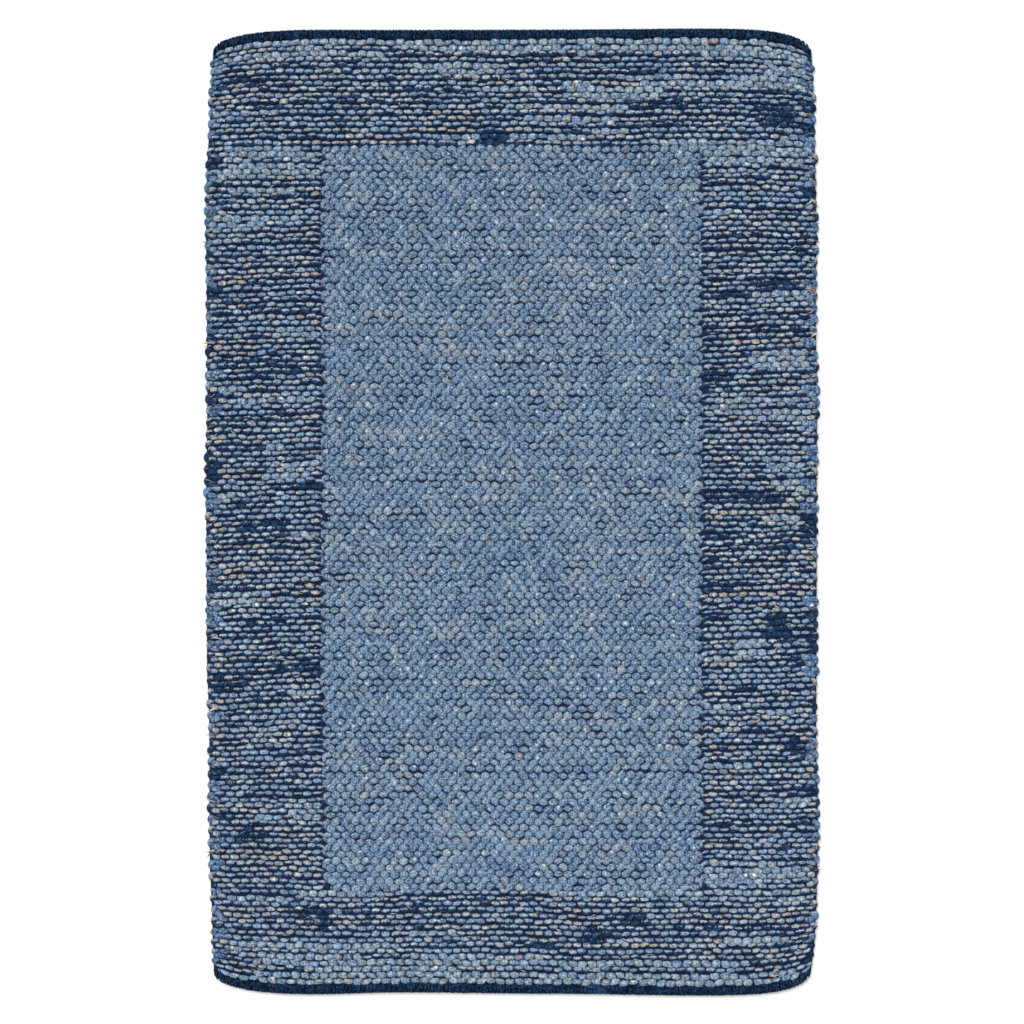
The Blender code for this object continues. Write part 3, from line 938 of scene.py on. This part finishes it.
def round_the_edge(turn):
    """How far out from the inner stitches and how high, for a turn from 0, on top there, to 1 below them."""
    half = BINDING_HEIGHT / 2
    flat = BINDING_WIDTH - EDGE_BEND
    length = 2 * flat + math.pi * EDGE_BEND
    gone = turn * length
    on_top = gone < flat
    below = gone > length - flat
    swing = np.clip((gone - flat) / EDGE_BEND, 0, math.pi)
    out = np.where(on_top, gone, np.where(below, length - gone, flat + EDGE_BEND * np.sin(swing)))
    rise = np.where(on_top, half, np.where(below, -half, half * np.cos(swing)))
    return out, half + rise


def rounded_end(x):
    """How much of the binding's width is left near its two ends, where the whipping rounds the corner off."""
    from_end = np.clip((BINDING_SHARE * HALF_WIDTH - np.abs(x)) / END_ROUNDING, 0, 1)
    return END_NARROWEST + (1 - END_NARROWEST) * np.sqrt(1 - (1 - from_end) ** 2)


def binding(name, end, seed, rubbed=(0.0, 0.0)):
    """One overcast end. rubbed says from where to where along X its yarn is rubbed paler."""
    chance = np.random.default_rng(seed)
    turns = int(2 * BINDING_SHARE * HALF_WIDTH / STITCH_SPACING)
    step = np.arange(turns * STITCH_RINGS)
    turn, part = step // STITCH_RINGS, step % STITCH_RINGS
    share = part / (STITCH_RINGS - 1)
    x = (-1 + 2 * step / (turns * STITCH_RINGS - 1)) * BINDING_SHARE * HALF_WIDTH
    inset = STITCH_PLACE_SPREAD * chance.standard_normal(turns)[turn]
    out, height = round_the_edge(share)
    out = out * rounded_end(x) * (1 + STITCH_REACH_SPREAD * chance.standard_normal(turns)[turn])
    starts, ends = part == 0, part == STITCH_RINGS - 1
    out = np.where(starts | ends, inset + STITCH_START, out)
    height = np.where(starts, height - STITCH_DEPTH, np.where(ends, height + STITCH_DEPTH, height))
    lean = STITCH_LEAN * chance.standard_normal(turns)[turn] * np.sin(math.pi * share)
    ring_angle = np.linspace(0, 2 * math.pi, STITCH_SIDES, endpoint=False) + 0.3
    centre = np.stack([x + lean, out, height], axis=-1)
    travel = np.gradient(centre, axis=0)
    travel[:, 0] = 0
    travel /= np.linalg.norm(travel, axis=1, keepdims=True)
    outward = np.stack([np.zeros(len(x)), -travel[:, 2], travel[:, 1]], axis=-1)
    toward_core = centre - outward * STITCH_HALF_HEIGHT
    sideways = np.array([1.0, 0.0, 0.0])
    fullness = 1 + 0.10 * chance.standard_normal(turns)[turn] + 0.12 * chance.standard_normal(len(step))
    wide = STITCH_HALF_WIDTH * fullness
    points = toward_core[:, None] + (
        wide[:, None, None] * np.cos(ring_angle)[None, :, None] * sideways
        + STITCH_HALF_HEIGHT * np.sin(ring_angle)[None, :, None] * outward[:, None]
    )
    points[..., 1] = end * (WOVEN_END + points[..., 1])
    shade = 1 + 0.12 * chance.standard_normal(turns)[turn] + 0.40 * chance.standard_normal(len(step))
    shade = shade * np.where((x > rubbed[0]) & (x < rubbed[1]), RUBBED_SHADE, 1.0)
    core_angle = np.linspace(0, 2 * math.pi, CORE_SIDES, endpoint=False)
    core_x = np.linspace(-1, 1, CORE_RINGS) * BINDING_SHARE * HALF_WIDTH * CORE_SHARE
    core_half = (BINDING_WIDTH * rounded_end(core_x) - 2 * CORE_INSET) / 2
    core_out = CORE_INSET + core_half[:, None] * (1 + np.cos(core_angle))
    core_up = BINDING_HEIGHT / 2 + (BINDING_HEIGHT / 2 - CORE_INSET) * np.sin(core_angle)
    core = np.stack(np.broadcast_arrays(core_x[:, None], end * (WOVEN_END + core_out), core_up), axis=-1)
    shades = [
        np.repeat(np.clip(shade, *SHADES)[:, None], STITCH_SIDES, axis=1),
        # the core, painted darker as shade between the turns
        np.full((CORE_RINGS, CORE_SIDES), CORE_PAINTED_SHADE),
    ]
    return spun(name, [lie(points), lie(core)], {"shade": shades})


# Firm navy whipping yarn: matt, each turn a little lighter along its crown. Between turns it is dark: real
# shade, and the core there is painted darker as shade.
def binding_material():
    material, tree, shader = new_material("navy_whipping_yarn")
    fibres = mapped(tree, yarn_grain(tree, BINDING_GRAIN, Detail=2.0), 0.34, 0.66)
    mixed = blended(tree, fibres, *[linear(colour) for colour in BINDING_DYES])
    where = node(tree, "ShaderNodeTexCoord", {}, {}).outputs["Object"]
    knobbed = {"Vector": where, "Scale": BINDING_KNOBS, "Detail": 1.0}
    knobs = node(tree, "ShaderNodeTexNoise", {}, knobbed).outputs[0]
    knobbly = mapped(tree, knobs, 0.33, 0.67, 0.30, 1.90)
    light = worked_out(tree, "MULTIPLY", knobbly, attribute(tree, "shade").outputs["Fac"])
    tree.links.new(lit(tree, mixed, light), shader.inputs["Base Color"])
    raised(tree, shader, fibres, 0.5, 0.0004)
    shader.inputs["Roughness"].default_value = 1.0
    shader.inputs["Specular IOR Level"].default_value = 0.03
    return material


whipping_yarn = binding_material()
bindings = [binding("far_overcast_end", 1, 31), binding("near_overcast_end", -1, 32, rubbed=(0.110, 0.146))]
for piece, cad_node in zip(bindings, ("far_end_binding", "near_end_binding")):
    piece.data.materials.append(whipping_yarn)
    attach(piece, "root")
    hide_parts(cad_node)

# ----------------------------------------------------------------------------------------------------------
# The studio: a plain white floor, soft light from all round and a broad lamp above. The camera looks straight
# down and takes in VIEW_WIDTH at the level of the rug's top.

VIEW_WIDTH = 1.5047
LENS = 85.0
SENSOR = 36.0
FLOOR_WHITE = (0.86, 0.86, 0.86, 1.0)
SKY_WHITE = (1.0, 1.0, 1.0, 1.0)
SKY_STRENGTH = 0.75
LAMP_STRENGTH = 2.4
LAMP_BREADTH = math.radians(35)
LAMP_TILT = (math.radians(-28), math.radians(-18), 0)

floor_mesh = bmesh.new()
bmesh.ops.create_grid(floor_mesh, x_segments=1, y_segments=1, size=20.0)
floor_data = bpy.data.meshes.new("studio_floor")
floor_mesh.to_mesh(floor_data)
floor_mesh.free()
floor = bpy.data.objects.new("studio_floor", floor_data)
bpy.context.scene.collection.objects.link(floor)
floor_paint, _, floor_shader = new_material("matt_white_paper")
floor_shader.inputs["Base Color"].default_value = FLOOR_WHITE
floor_shader.inputs["Roughness"].default_value = 1.0
floor_shader.inputs["Specular IOR Level"].default_value = 0.0
floor_data.materials.append(floor_paint)

world = bpy.data.worlds.new("soft_studio")
world.use_nodes = True
world.node_tree.nodes["Background"].inputs["Color"].default_value = SKY_WHITE
world.node_tree.nodes["Background"].inputs["Strength"].default_value = SKY_STRENGTH
bpy.context.scene.world = world

lamp_data = bpy.data.lights.new("broad_lamp", "SUN")
lamp_data.energy = LAMP_STRENGTH
lamp_data.angle = LAMP_BREADTH
lamp = bpy.data.objects.new("broad_lamp", lamp_data)
lamp.rotation_euler = LAMP_TILT
bpy.context.scene.collection.objects.link(lamp)

camera_data = bpy.data.cameras.new("camera")
camera_data.lens = LENS
camera_data.sensor_width = SENSOR
camera_data.clip_end = 100
camera = bpy.data.objects.new("camera", camera_data)
camera.location = (0.0, 0.0, THICKNESS + VIEW_WIDTH * LENS / SENSOR)
bpy.context.scene.collection.objects.link(camera)
bpy.context.scene.camera = camera
bpy.context.scene.view_settings.view_transform = "Standard"
